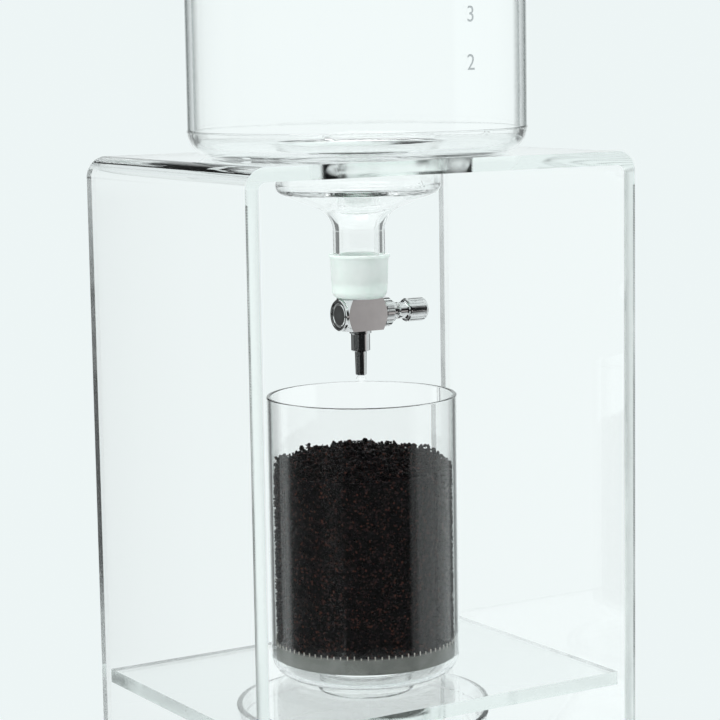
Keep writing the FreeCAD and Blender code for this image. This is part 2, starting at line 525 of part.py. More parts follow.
# Filter: a grey ring on the cup's shoulder carries a slotted plate and a fine mesh
def make_filter():
    wide = "(cupDiameter / 2 - cupWall - filterClearance)"
    ledge = "(cupDiameter / 2 - cupWall - filterClearance - filterRingWall)"
    band = turned("FilterRing", [
        (wide, "0", "edgeBevel", BEVEL), (wide, "filterHeight", "edgeBevel", BEVEL), (ledge, "filterHeight"), (ledge, "filterLedge"),
        (ledge + " - filterLedgeWidth", "filterLedge"), (ledge + " - filterLedgeWidth", "0")])
    place(band, "filter_ring", SHELF_TOP + " + filterSeat")
    plate = turned("FilterPlate", [
        ("0", "0"), (ledge + " - filterFit", "0"), (ledge + " - filterFit", "filterPlateThickness"),
        ("0", "filterPlateThickness")])
    slot = new_sketch(plate, "XY_Plane", "filterPlateThickness")
    slot_end = ledge + " - filterLedgeWidth - slotEndGap"
    outline(slot, [("slotStart", "-slotWidth / 2"), (slot_end, "-slotWidth / 2"),
                   (slot_end, "slotWidth / 2"), ("slotStart", "slotWidth / 2")])
    repeat_round(plate, pocket(plate, slot, "2 * filterPlateThickness"), "filterSlots")
    place(plate, "filter_plate", SHELF_TOP + " + filterSeat + filterLedge")
    mesh = turned("FilterMesh", [
        ("0", "0"), (ledge + " - filterFit", "0"), (ledge + " - filterFit", "meshThickness"), ("0", "meshThickness")])
    place(mesh, "filter_mesh", SHELF_TOP + " + filterSeat + filterLedge + filterPlateThickness")
    floor = "(filterSeat + filterLedge + filterPlateThickness + meshThickness + filterFit)"
    fill = "(cupDiameter / 2 - cupWall - filterClearance)"
    bed = turned("CoffeeBed", [
        ("0", floor), (ledge + " - filterClearance", floor),
        (ledge + " - filterClearance", "filterSeat + filterHeight + filterFit"),
        (fill, "filterSeat + filterHeight + filterFit"), (fill, "bedSide", "bedEdge", BEVEL),
        (fill + " * 0.45", "bedSide + bedHeap", "bedCrown"), ("0", "bedSide + bedHeap")])
    place(bed, "coffee_bed", SHELF_TOP)


# Server: a wide-mouthed glass jug that stands on the base plate under the spout
def make_server():
    wide, mouth = "(serverDiameter / 2)", "(serverMouth / 2)"
    wide_in, mouth_in = "(serverDiameter / 2 - serverWall)", "(serverMouth / 2 - serverWall)"
    neck, lip = "(%s - serverNeckLength)" % SERVER_TOP, "(%s - serverLipHeight)" % SERVER_TOP
    shoulder = "(%s - serverNeckLength - serverShoulderDrop)" % SERVER_TOP
    body = turned("ServerGlass", [
        ("0", "0"), (wide, "0", "serverBaseRadius"), (wide, shoulder, "serverShoulderRadius"),
        (mouth, neck, "serverNeckRadius"), (mouth, lip), (mouth + " + serverLip", SERVER_TOP, "rimRounding"),
        (mouth_in + " + serverLip", SERVER_TOP, "rimRounding"), (mouth_in, lip),
        (mouth_in, neck, "serverNeckRadius + serverWall"), (wide_in, shoulder, "serverShoulderRadius - serverWall"),
        (wide_in, "serverWall", "serverBaseRadius - serverWall"), ("0", "serverWall")])
    place(body, "server_glass", BASE_TOP + " + restGap")


for make in (make_stand, make_shelf, make_base, make_bowl, make_lid, make_connector, make_tap_body,
             make_tail, make_end_cap, make_gland, make_needle, make_nozzle, make_strainer,
             make_filter, make_server):
    make()
doc.recompute()

for item in doc.Objects:
    if "Invalid" in item.State or "Error" in item.State:
        raise RuntimeError("failed object: " + item.Label)
for piece in subparts:
    if piece.Shape.isNull() or not piece.Shape.isValid():
        raise RuntimeError("bad shape: " + piece.Label)

os.makedirs("parts", exist_ok=True)
for piece in subparts:
    piece.Shape.exportStep(os.path.join("parts", piece.Label + ".step"))
print(len(subparts), "sub-parts written")
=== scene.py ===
"""Looks of the cold drip coffee tower: clear acrylic, blown glass, chrome, silicone and coffee."""
import math

import bmesh
import bpy
import numpy as np
from mathutils import Matrix, Vector, noise


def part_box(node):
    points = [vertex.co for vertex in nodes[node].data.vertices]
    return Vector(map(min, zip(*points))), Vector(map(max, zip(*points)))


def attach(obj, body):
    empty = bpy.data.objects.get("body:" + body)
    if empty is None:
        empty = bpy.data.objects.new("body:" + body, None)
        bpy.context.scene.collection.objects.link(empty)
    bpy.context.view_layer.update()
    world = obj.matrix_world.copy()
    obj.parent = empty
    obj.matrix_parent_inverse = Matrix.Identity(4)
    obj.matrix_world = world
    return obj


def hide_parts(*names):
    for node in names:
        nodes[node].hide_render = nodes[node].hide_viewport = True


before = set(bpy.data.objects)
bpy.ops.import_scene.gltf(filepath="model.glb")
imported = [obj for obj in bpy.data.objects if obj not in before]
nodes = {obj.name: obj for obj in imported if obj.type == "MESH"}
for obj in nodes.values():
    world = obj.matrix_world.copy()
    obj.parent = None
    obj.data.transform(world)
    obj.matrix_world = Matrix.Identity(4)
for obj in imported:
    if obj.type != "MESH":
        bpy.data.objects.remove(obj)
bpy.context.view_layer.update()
MM = 0.001

# Stand: one sheet of cast acrylic bent hot over both corners, and a base plate of the same sheet.
# The faces are polished and clear; the sawn edges are satin, with fine cross marks left by the blade.
SHEET_CLEAR = (0.992, 1.0, 0.998)
SHEET_EDGE = (0.955, 0.99, 0.975)
SHEET_SHADOW = (0.97, 0.985, 0.98)
SHEET_INDEX = 1.49
FACE_ROUGH, EDGE_ROUGH = 0.006, 0.07
EDGE_FACING = 0.7
SAW_SCALE = 1 / (1.35 * MM)
SAW_STRENGTH = 0.10
SAW_DEPTH = 0.12 * MM
# Painted shade: a near black ticked line along some sawn edges, standing in for the dark those edges show.
PAINTED_EDGE_SHADE = (0.003, 0.003, 0.003, 1)
PAINTED_EDGE_WIDTH = 0.8 * MM
PAINTED_EDGE_PITCH = 0.85 * MM
BEND_REACH = 11 * MM
# A wave texture of scale 1 draws about 3.2 bands in a metre.
WAVE_BANDS = 3.2


def new_finish(name, colour, rough, **sockets):
    """A Principled material with its even values set on the shader's own sockets."""
    material = bpy.data.materials.new(name)
    material.use_nodes = True
    shader = material.node_tree.nodes["Principled BSDF"]
    shader.inputs["Base Color"].default_value = (*colour, 1)
    shader.inputs["Roughness"].default_value = rough
    for socket, value in sockets.items():
        shader.inputs[socket.replace("_", " ")].default_value = value
    return material, shader


def new_group(name, inputs, outputs):
    """An empty node group with its input and output nodes; the sockets come as names and kinds."""
    group = bpy.data.node_groups.new(name, "ShaderNodeTree")
    for direction, sockets in (("INPUT", inputs), ("OUTPUT", outputs)):
        for socket, kind in sockets.items():
            group.interface.new_socket(socket, in_out=direction, socket_type="NodeSocket" + kind)
    return group, group.nodes.new("NodeGroupInput"), group.nodes.new("NodeGroupOutput")


def add_node(tree, kind, **values):
    """A node with some of its inputs or properties set."""
    node = tree.nodes.new(kind)
    for name, value in values.items():
        if name.replace("_", " ") in node.inputs:
            node.inputs[name.replace("_", " ")].default_value = value
        else:
            setattr(node, name, value)
    return node


def feed(tree, value, socket):
    """Links an output to a socket, or sets a plain value on it."""
    if isinstance(value, bpy.types.NodeSocket):
        tree.links.new(value, socket)
    else:
        socket.default_value = value


def reckon(tree, operation, *values):
    """The result of a Math node, from outputs or plain numbers."""
    node = add_node(tree, "ShaderNodeMath", operation=operation)
    for socket, value in zip(node.inputs, values):
        feed(tree, value, socket)
    return node.outputs[0]


def remap(tree, source, **limits):
    """The result of a Map Range node over an output."""
    node = add_node(tree, "ShaderNodeMapRange", **limits)
    tree.links.new(source, node.inputs["Value"])
    return node.outputs["Result"]


def add_ramp(tree, source, stops):
    """The result of a colour ramp over an output; its stops are pairs of position and colour."""
    node = add_node(tree, "ShaderNodeValToRGB")
    elements = node.color_ramp.elements
    for element, (position, colour) in zip(elements, (stops[0], stops[-1])):
        element.position = position
        element.color = (*colour[:3], 1)
    for position, colour in stops[1:-1]:
        elements.new(position).color = (*colour[:3], 1)
    tree.links.new(source, node.inputs["Fac"])
    return node.outputs["Color"]


def mix_colours(tree, factor, first, second):
    """The result of a Mix node between two colours, each an output or a plain value."""
    node = add_node(tree, "ShaderNodeMix", data_type="RGBA")
    sockets = {socket.identifier: socket for socket in node.inputs}
    tree.links.new(factor, node.inputs["Factor"])
    feed(tree, first, sockets["A_Color"])
    feed(tree, second, sockets["B_Color"])
    return next(socket for socket in node.outputs if socket.identifier == "Result_Color")


def mix_surface(tree, factor, first, second, output="Material Output"):
    """Ends a tree in a mix of two shaders."""
    node = add_node(tree, "ShaderNodeMixShader")
    for socket, source in zip(node.inputs, (factor, first, second)):
        tree.links.new(source, socket)
    tree.links.new(node.outputs["Shader"], tree.nodes[output].inputs["Surface"])


def add_bump(tree, shader, height, strength, depth):
    """Lets a height bend the shader's normal."""
    node = add_node(tree, "ShaderNodeBump", Strength=strength, Distance=depth)
    tree.links.new(height, node.inputs["Height"])
    tree.links.new(node.outputs["Normal"], shader.inputs["Normal"])


def pass_light(material, shader, tint=(1, 1, 1)):
    """Lets light through a clear piece to what stands behind it, as clear things do."""
    tree = material.node_tree
    path = add_node(tree, "ShaderNodeLightPath")
    clear = add_node(tree, "ShaderNodeBsdfTransparent", Color=(*tint, 1))
    mix_surface(tree, path.outputs["Is Shadow Ray"], shader.outputs["BSDF"], clear.outputs["BSDF"])


def wear(node, material):
    """Puts a material on a CAD node's own slot."""
    materials = nodes[node].data.materials
    materials.clear()
    materials.append(material)


def saw_marks_group():
    """Fine blade marks across a sawn edge: a mask of the edge faces and a height to bump."""
    group, source, result = new_group("saw_marks", {"Scale": "Float", "Ends": "Float"},
                                      {"Edge": "Float", "Height": "Float"})
    place = add_node(group, "ShaderNodeTexCoord")
    facing = add_node(group, "ShaderNodeSeparateXYZ")
    group.links.new(place.outputs["Normal"], facing.inputs[0])
    side = reckon(group, "ABSOLUTE", facing.outputs["Y"])
    end = reckon(group, "ABSOLUTE", reckon(group, "MULTIPLY", facing.outputs["X"], source.outputs["Ends"]))
    edge = reckon(group, "GREATER_THAN", reckon(group, "MAXIMUM", side, end), EDGE_FACING)
    wobble = add_node(group, "ShaderNodeTexNoise", Scale=90.0, Detail=3.0)
    group.links.new(place.outputs["Object"], wobble.inputs["Vector"])
    marks = add_node(group, "ShaderNodeTexWave", Distortion=1.6, Detail=1.0, wave_type="BANDS",
                     bands_direction="DIAGONAL")
    group.links.new(place.outputs["Object"], marks.inputs["Vector"])
    group.links.new(source.outputs["Scale"], marks.inputs["Scale"])
    height = reckon(group, "MULTIPLY", marks.outputs["Fac"], wobble.outputs["Fac"])
    group.links.new(edge, result.inputs["Edge"])
    group.links.new(height, result.inputs["Height"])
    return group


saw_marks = saw_marks_group()


def cast_acrylic(name, ends):
    """Clear sheet with satin, faintly green sawn edges; ends tells whether its X ends are sawn too."""
    material, shader = new_finish(name, SHEET_CLEAR, FACE_ROUGH, IOR=SHEET_INDEX, Transmission_Weight=1.0)
    tree = material.node_tree
    marks = add_node(tree, "ShaderNodeGroup", node_tree=saw_marks, Scale=SAW_SCALE, Ends=ends)
    satin = remap(tree, marks.outputs["Edge"], To_Min=FACE_ROUGH, To_Max=EDGE_ROUGH)
    tint = add_ramp(tree, marks.outputs["Edge"], ((0.0, SHEET_CLEAR), (1.0, SHEET_EDGE)))
    ridges = reckon(tree, "MULTIPLY", marks.outputs["Edge"], marks.outputs["Height"])
    tree.links.new(satin, shader.inputs["Roughness"])
    tree.links.new(tint, shader.inputs["Base Color"])
    add_bump(tree, shader, ridges, SAW_STRENGTH, SAW_DEPTH)
    pass_light(material, shader, SHEET_SHADOW)
    return material


def cut_line_group():
    """Ticked painted shade line along the panels' outer corners and rear left edge, where the sheet's edges
    look dark.
    """
    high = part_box("stand_frame")[1]
    group, _, result = new_group("painted_edge_line", {}, {"Line": "Float"})
    place = add_node(group, "ShaderNodeTexCoord")
    point = add_node(group, "ShaderNodeSeparateXYZ")
    facing = add_node(group, "ShaderNodeSeparateXYZ")
    group.links.new(place.outputs["Object"], point.inputs[0])
    group.links.new(place.outputs["Normal"], facing.inputs[0])
    outward = reckon(group, "ABSOLUTE", point.outputs["X"])
    corner = reckon(group, "GREATER_THAN", outward, high[0] - PAINTED_EDGE_WIDTH)
    left = reckon(group, "LESS_THAN", point.outputs["X"], 0.0)
    to_front = reckon(group, "LESS_THAN", facing.outputs["Y"], -EDGE_FACING)
    to_rear = reckon(group, "GREATER_THAN", facing.outputs["Y"], EDGE_FACING)
    front = reckon(group, "MULTIPLY", to_front, corner)
    rear = reckon(group, "MULTIPLY", to_rear, left)
    below_bend = reckon(group, "LESS_THAN", point.outputs["Z"], high[2] - BEND_REACH)
    line = reckon(group, "MULTIPLY", reckon(group, "MAXIMUM", front, rear), below_bend)
    ticks = add_node(group, "ShaderNodeTexWave", Scale=1 / PAINTED_EDGE_PITCH / WAVE_BANDS, Distortion=0.8,
                     wave_type="BANDS", bands_direction="Z")
    group.links.new(place.outputs["Object"], ticks.inputs["Vector"])
    drift = add_node(group, "ShaderNodeTexNoise", Scale=26.0, Detail=2.0)
    group.links.new(place.outputs["Object"], drift.inputs["Vector"])
    depth = remap(group, ticks.outputs["Fac"], To_Min=0.5, To_Max=1.0)
    fade = remap(group, drift.outputs["Fac"], From_Min=0.3, From_Max=0.55, To_Min=0.55, To_Max=1.0)
    ticked = reckon(group, "MULTIPLY", line, depth)
    group.links.new(reckon(group, "MULTIPLY", ticked, fade), result.inputs["Line"])
    return group


bent_acrylic = cast_acrylic("bent_acrylic", 0.0)
tree = bent_acrylic.node_tree
tint = tree.nodes["Principled BSDF"].inputs["Base Color"]
# The painted shade line is mixed into the sheet's colour.
line = add_node(tree, "ShaderNodeGroup", node_tree=cut_line_group())
tree.links.new(mix_colours(tree, line.outputs["Line"], tint.links[0].from_socket, PAINTED_EDGE_SHADE), tint)
wear("stand_frame", bent_acrylic)
plate_acrylic = cast_acrylic("plate_acrylic", 1.0)
wear("base_plate", plate_acrylic)

# Shelf: the same plate as the CAD one, with a hair's gap to the panels.
# The gap lets its ends mirror the light back, as they do where air stays between two sheets.
SHELF_GAP = 0.06 * MM


def link(name, mesh, body, material):
    """Makes a piece from a mesh and lets it ride on a body."""
    piece = bpy.data.objects.new(name, mesh)
    bpy.context.scene.collection.objects.link(piece)
    piece.data.materials.append(material)
    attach(piece, body)
    return piece


shelf_mesh = nodes["middle_shelf"].data.copy()
shelf_mesh.name = "clear_shelf"
half_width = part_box("middle_shelf")[1][0]
for vertex in shelf_mesh.vertices:
    vertex.co.x *= 1 - SHELF_GAP / half_width
shelf_mesh.materials.clear()
shelf = link("clear_shelf", shelf_mesh, "stand", plate_acrylic)
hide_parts("middle_shelf")

# Feet: four soft bumpers of clear-grey rubber under the base plate.
# They are moulded, with a faint bloom, and stick to the plate.
MOTTLE_START, MOTTLE_FULL = 0.3, 0.7
GRAIN_DEPTH = 0.05 * MM


def grain_group():
    """Slow and fine mottling for moulded and handled surfaces: a mask from 0 to 1."""
    group, source, result = new_group("handled_grain", {"Size": "Float"}, {"Mask": "Float"})
    place = add_node(group, "ShaderNodeTexCoord")
    mottle = add_node(group, "ShaderNodeTexNoise", Detail=6.0, Roughness=0.62)
    group.links.new(place.outputs["Object"], mottle.inputs["Vector"])
    group.links.new(source.outputs["Size"], mottle.inputs["Scale"])
    group.links.new(mottle.outputs["Fac"], result.inputs["Mask"])
    return group


grain = grain_group()


def mottled(name, dark, light, size, rough, bump=0.0, **sockets):
    """A finish whose colour and roughness drift a little over the surface."""
    material, shader = new_finish(name, light, rough[0], **sockets)
    tree = material.node_tree
    mask = add_node(tree, "ShaderNodeGroup", node_tree=grain, Size=size).outputs["Mask"]
    tint = add_ramp(tree, mask, ((MOTTLE_START, dark), (MOTTLE_FULL, light)))
    spread = remap(tree, mask, To_Min=rough[0], To_Max=rough[1])
    tree.links.new(tint, shader.inputs["Base Color"])
    tree.links.new(spread, shader.inputs["Roughness"])
    if bump:
        add_bump(tree, shader, mask, bump, GRAIN_DEPTH)
    return material


wear("rubber_feet", mottled("foot_rubber", (0.60, 0.62, 0.61), (0.72, 0.74, 0.73), 400, (0.35, 0.55), 0.3))

# Water bowl, strainer cup and server: heatproof glass, drawn as tube and shaped in the flame.
# It is clear, barely green in its thickness, with the faint ripple that flame work leaves.
GLASS_CLEAR = (0.995, 1.0, 0.998)
GLASS_SHADOW = (0.985, 0.99, 0.99)
GLASS_INDEX = 1.47
# Painted shade: upright walls seen edge on are tinted darker, standing in for the dark edge lines that glass
# shows.
EDGE_ON_SHADE_START, EDGE_ON_SHADE_FULL = 0.72, 0.86
RIPPLE_SIZE = 45.0
RIPPLE_DEPTH = 0.4 * MM


def blown_glass(name, ripple, edge_on_shade, foot=0.0):
    """Clear glass whose upright walls above the foot level get a painted shade where they are seen edge on.
    """
    material, shader = new_finish(name, GLASS_CLEAR, 0.0, IOR=GLASS_INDEX, Transmission_Weight=1.0)
    tree = material.node_tree
    mask = add_node(tree, "ShaderNodeGroup", node_tree=grain, Size=RIPPLE_SIZE)
    add_bump(tree, shader, mask.outputs["Mask"], ripple, RIPPLE_DEPTH)
    slant = add_node(tree, "ShaderNodeLayerWeight", Blend=0.5)
    place = add_node(tree, "ShaderNodeTexCoord")
    facing = add_node(tree, "ShaderNodeSeparateXYZ")
    point = add_node(tree, "ShaderNodeSeparateXYZ")
    tree.links.new(place.outputs["Normal"], facing.inputs[0])
    tree.links.new(place.outputs["Object"], point.inputs[0])
    upright = reckon(tree, "SUBTRACT", 1.0, reckon(tree, "ABSOLUTE", facing.outputs["Z"]))
    wall = reckon(tree, "MULTIPLY", slant.outputs["Facing"], upright)
    over_foot = reckon(tree, "GREATER_THAN", point.outputs["Z"], foot)
    dark = reckon(tree, "MULTIPLY", wall, over_foot)
    tint = add_ramp(tree, dark, ((EDGE_ON_SHADE_START, GLASS_CLEAR), (EDGE_ON_SHADE_FULL, edge_on_shade)))
    tree.links.new(tint, shader.inputs["Base Color"])
    pass_light(material, shader, GLASS_SHADOW)
    return material


# The bowl's edge-on walls get a near black painted shade.
bowl_glass = blown_glass("bowl_glass", 0.05, (0.10, 0.12, 0.12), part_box("stand_frame")[1][2])
wear("water_bowl", bowl_glass)

# Seam: a fine bead where the bowl's pressed bottom was melted onto its tube.
# It is the same glass and catches one bright line all round.
BEAD_HEIGHT = 8.2 * MM
BEAD_REACH = 0.26 * MM
BEAD_AROUND, BEAD_ACROSS = 160, 8


def bead_mesh():
    """The bead as one closed ring, half sunk in the bowl's wall."""
    low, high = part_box("water_bowl")
    radius = (high[0] - low[0]) / 2
    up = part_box("stand_frame")[1][2] + BEAD_HEIGHT
    points, faces = [], []
    for number in range(BEAD_AROUND):
        bearing = 2 * math.pi * number / BEAD_AROUND
        here, there = number * BEAD_ACROSS, (number + 1) % BEAD_AROUND * BEAD_ACROSS
        for step in range(BEAD_ACROSS):
            angle = 2 * math.pi * step / BEAD_ACROSS
            reach = radius + BEAD_REACH * math.cos(angle)
            points.append((reach * math.cos(bearing), reach * math.sin(bearing),
                           up + BEAD_REACH * math.sin(angle)))
            after = (step + 1) % BEAD_ACROSS
            faces.append((here + step, there + step, there + after, here + after))
    mesh = bpy.data.meshes.new("bowl_seam")
    mesh.from_pydata(points, [], faces)
    mesh.shade_smooth()
    return mesh


seam = link("bowl_seam", bead_mesh(), "bowl", bowl_glass)

# Marks: light grey cup numbers fired on the bowl's outside, one 130 ml cup apart.
# They run up from 2 to 6 on the bowl's front, a little to the right of its middle.
FIRST_CUP, LAST_CUP = 2, 6
MARK_HEIGHT = 5.0 * MM
MARK_STEP = 14.7 * MM
MARK_FIRST = 29.0 * MM
MARK_ANGLE = math.radians(-82)
GLYPH_SIZE = 1.4
INK_THICK = 0.04 * MM
INK_GAP = 0.02 * MM


def number_mesh(text, height):
    """A plain numeral as a flat mesh in XY, centred on its own middle."""
    curve = bpy.data.curves.new("numeral", "FONT")
    curve.body = text
    curve.size = height * GLYPH_SIZE
    curve.align_x = "CENTER"
    curve.align_y = "CENTER"
    curve.resolution_u = 6
    numeral = bpy.data.objects.new("numeral", curve)
    bpy.context.scene.collection.objects.link(numeral)
    bpy.context.view_layer.update()
    mesh = bpy.data.meshes.new_from_object(numeral)
    bpy.data.objects.remove(numeral)
    bpy.data.curves.remove(curve)
    return mesh


def wrap_marks():
    """All cup numbers as one mesh, bent round the bowl's outside."""
    low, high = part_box("water_bowl")
    radius = (high[0] - low[0]) / 2 + INK_GAP
    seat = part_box("stand_frame")[1][2]
    whole = bmesh.new()
    for cup in range(FIRST_CUP, LAST_CUP + 1):
        part = bmesh.new()
        part.from_mesh(number_mesh(str(cup), MARK_HEIGHT))
        bmesh.ops.subdivide_edges(part, edges=part.edges, cuts=2, use_grid_fill=False)
        shell = bmesh.ops.extrude_face_region(part, geom=part.faces[:])
        raised = [item for item in shell["geom"] if isinstance(item, bmesh.types.BMVert)]
        up = seat + MARK_FIRST + (cup - FIRST_CUP) * MARK_STEP
        for vertex in part.verts:
            across, height = vertex.co.x, vertex.co.y
            around = MARK_ANGLE + across / radius
            reach = radius + (INK_THICK if vertex in raised else 0.0)
            vertex.co = (reach * math.cos(around), reach * math.sin(around), up + height)
        bmesh.ops.recalc_face_normals(part, faces=part.faces)
        done = bpy.data.meshes.new("mark")
        part.to_mesh(done)
        whole.from_mesh(done)
        part.free()
    mesh = bpy.data.meshes.new("cup_marks")
    whole.to_mesh(mesh)
    whole.free()
    return mesh


ink = mottled("fired_ink", (0.58, 0.61, 0.62), (0.66, 0.69, 0.70), 900, (0.4, 0.6))
marks_piece = link("cup_marks", wrap_marks(), "bowl", ink)

# Lid: a clear moulded disc with a skirt inside the bowl, its waisted knob held by a steel screw.
# It keeps dust out of the water and lifts off to fill the bowl.
LID_CLEAR = (0.97, 0.98, 0.98)
lid_clear, shader = new_finish("lid_clear", LID_CLEAR, 0.03, IOR=SHEET_INDEX, Transmission_Weight=1.0)
pass_light(lid_clear, shader, LID_CLEAR)
wear("bowl_lid", lid_clear)
wear("lid_knob", lid_clear)
steel = mottled("screw_steel", (0.50, 0.50, 0.51), (0.66, 0.66, 0.67), 700, (0.22, 0.38), 0.2, Metallic=1.0)
wear("lid_screw", steel)
wear("knob_screw", steel)

# Connector: milky silicone moulded as a cup, soft and translucent, with a thin lip.
# It is pushed over the bowl's neck and holds the tap by its tail.
silicone = mottled("milky_silicone", (0.70, 0.80, 0.74), (0.80, 0.88, 0.83), 120, (0.36, 0.5), 0.25,
                   Subsurface_Weight=0.55, Subsurface_Radius=(0.006, 0.008, 0.007),
                   Subsurface_Scale=1.0, IOR=1.41)
wear("silicone_connector", silicone)

# Tap: brass turned and bored, then chromed bright all over, with the needle of plain steel.
# The flats carry faint wipe marks; the nut, knob and nozzle have the same plating.
# Painted reflection: tones across the end cap from its axis outward, a dark face, a bright ring and a dark
# edge.
CAP_PAINTED_TONES = ((0.0, 0.30), (0.62, 0.22), (0.66, 0.95), (0.76, 0.95), (0.80, 0.16), (0.93, 0.30), (1.0, 0.9))
plating = mottled("tap_chrome", (0.736, 0.736, 0.736), (0.80, 0.80, 0.80), 260, (0.03, 0.10), 0.05,
                  Metallic=1.0)
for name in ("tap_body", "inlet_tail", "gland_nut", "needle_knob", "nozzle_body", "nozzle_tip"):
    wear(name, plating)


def cap_chrome():
    """Plating of the end cap with painted reflection: dark in its dished face and painted bright on the
    turned ring.
    """
    low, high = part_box("tap_end_cap")
    material, shader = new_finish("cap_chrome", (0.5, 0.5, 0.5), 0.10, Metallic=1.0)
    tree = material.node_tree
    place = add_node(tree, "ShaderNodeTexCoord")
    from_axis = add_node(tree, "ShaderNodeVectorMath", operation="SUBTRACT")
    from_axis.inputs[1].default_value = (0, (low[1] + high[1]) / 2, (low[2] + high[2]) / 2)
    flat = add_node(tree, "ShaderNodeVectorMath", operation="MULTIPLY")
    flat.inputs[1].default_value = (0, 1, 1)
    away = add_node(tree, "ShaderNodeVectorMath", operation="LENGTH")
    tree.links.new(place.outputs["Object"], from_axis.inputs[0])
    tree.links.new(from_axis.outputs[0], flat.inputs[0])
    tree.links.new(flat.outputs[0], away.inputs[0])
    outward = remap(tree, away.outputs["Value"], From_Max=(high[2] - low[2]) / 2)
    tint = add_ramp(tree, outward, [(position, (tone, tone, tone)) for position, tone in CAP_PAINTED_TONES])
    tree.links.new(tint, shader.inputs["Base Color"])
    return material


wear("tap_end_cap", cap_chrome())
wear("needle_spindle", mottled("needle_steel", (0.55, 0.55, 0.55), (0.70, 0.70, 0.70), 600, (0.15, 0.3), 0.1,
                               Metallic=1.0))
wear("end_cap_seal", mottled("black_rubber", (0.02, 0.02, 0.02), (0.05, 0.05, 0.05), 900, (0.5, 0.7), 0.2))
wear("gland_packing", mottled("white_packing", (0.80, 0.80, 0.78), (0.90, 0.90, 0.88), 900, (0.4, 0.6), 0.2))

# Water: one drop gathers under the drip tip before it falls into the coffee.
# It hangs by its own skin, so it is round below and drawn in at the tip.
WATER_INDEX = 1.33
DROP_WIDTH = 3.3 * MM
DROP_LENGTH = 2.5 * MM
DROP_NARROW = 0.25
DROP_BELOW = 0.42


def drop_mesh():
    """A ball drawn in toward its top, which stays inside the tip."""
    low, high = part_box("nozzle_tip")
    x, y = (low[0] + high[0]) / 2, (low[1] + high[1]) / 2
    ball = bmesh.new()
    bmesh.ops.create_uvsphere(ball, u_segments=32, v_segments=20, radius=0.5)
    for vertex in ball.verts:
        width = DROP_WIDTH * (1 - DROP_NARROW * max(0.0, vertex.co.z * 2))
        vertex.co = (x + vertex.co.x * width, y + vertex.co.y * width,
                     low[2] + (vertex.co.z - DROP_BELOW) * DROP_LENGTH)
    mesh = bpy.data.meshes.new("water_drop")
    ball.to_mesh(mesh)
    mesh.shade_smooth()
    ball.free()
    return mesh


water, shader = new_finish("water", (1.0, 1.0, 1.0), 0.0, IOR=WATER_INDEX, Transmission_Weight=1.0)
pass_light(water, shader)
drop = link("water_drop", drop_mesh(), "bowl", water)

# Strainer and server: a straight cup, open below, that stands on the shelf, and the jug under it.
# Both are of the bowl's glass; the cup's rim is fire polished and its spout reaches through the shelf.
# Their edge-on walls get a pale painted shade.
wear("strainer_glass", blown_glass("strainer_glass", 0.04, (0.82, 0.87, 0.86)))
wear("server_glass", blown_glass("server_glass", 0.05, (0.75, 0.80, 0.79)))

# Filter: a warm grey silicone ring with a slotted plate and a fine steel mesh on it.
# Small moulded ribs stand all round its upper edge, pressed between ring and glass; their pale colour is a
# painted highlight for the glints on their tips.
RIB_COUNT = 84
RIB_HEIGHT = 1.5 * MM
RIB_WIDTH = 0.34 * MM
RIB_DEPTH = 0.3 * MM
RIB_SUNK = 0.1 * MM
RIB_ROUND = 0.06 * MM
grey = mottled("filter_silicone", (0.125, 0.130, 0.119), (0.185, 0.190, 0.173), 300, (0.5, 0.7), 0.3)
wear("filter_ring", grey)
wear("filter_plate", grey)
wear("filter_mesh", mottled("woven_mesh", (0.30, 0.30, 0.30), (0.55, 0.55, 0.55), 2500, (0.3, 0.5), 0.6,
                            Metallic=1.0))


def rib_ring():
    """The ring of small upright ribs as one mesh, each with a rounded top."""
    low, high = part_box("filter_ring")
    radius = (high[0] - low[0]) / 2 - RIB_DEPTH / 2
    whole = bmesh.new()
    for number in range(RIB_COUNT):
        turn = Matrix.Rotation(2 * math.pi * number / RIB_COUNT, 4, "Z")
        tall = RIB_HEIGHT * (0.8 + 0.35 * noise.noise(Vector((number * 0.7, 3.1, 0))))
        size = Matrix.Diagonal((RIB_DEPTH, RIB_WIDTH, tall, 1))
        place = Matrix.Translation((radius, 0, high[2] + tall / 2 - RIB_SUNK))
        bmesh.ops.create_cube(whole, size=1.0, matrix=turn @ place @ size)
    bmesh.ops.bevel(whole, geom=whole.edges[:], offset=RIB_ROUND, segments=2, affect="EDGES")
    mesh = bpy.data.meshes.new("filter_ribs")
    whole.to_mesh(mesh)
    whole.free()
    return mesh


# The ribs' pale colour is a painted highlight.
ribs = link("filter_ribs", rib_ring(), "strainer",
            mottled("rib_painted_highlight", (0.50, 0.47, 0.43), (0.66, 0.63, 0.58), 700, (0.45, 0.6)))

# Coffee: coarse dark grounds that fill the cup, pressed flat by the glass and heaped on top.
# A rough core carries thousands of single grains, most nearly black, some red-brown.
SEED = 7
GRAIN_SIZE = 0.56 * MM
GRAIN_STRETCH = (0.7, 0.6, 0.5), (1.35, 1.1, 1.0)
GRAIN_DENT = 0.72, 1.18
SIDE_GRAINS, TOP_GRAINS = 12000, 3200
SIDE_SIZES, TOP_SIZES = (0.6, 1.7), (0.9, 3.4)
SIDE_DEPTHS, TOP_LIFTS = (0.35, 0.95), (-0.3, 2.0)
SIDE_LOW, SIDE_OVER = 0.5 * MM, 0.4 * MM
TOP_REACH = 0.975
GRAIN_GAP = 0.02 * MM
GRAIN_OVER = 1.2 * MM
CORE_INSET = 0.9 * MM
CORE_SUNK = 0.4 * MM
CORE_FOOT = 0.2 * MM
CORE_ROUGH = 0.35 * MM
CORE_RINGS = 46
CORE_STEPS = 150
HEAP = 4.0 * MM
HEAP_POWER = 2.2
HEAP_RINGS = 24
HEAP_STEP = 0.04
LUMP_HEIGHT, LUMP_SCALE = 2.3 * MM, 150
CRUMB_HEIGHT, CRUMB_SCALE = 1.3 * MM, 520
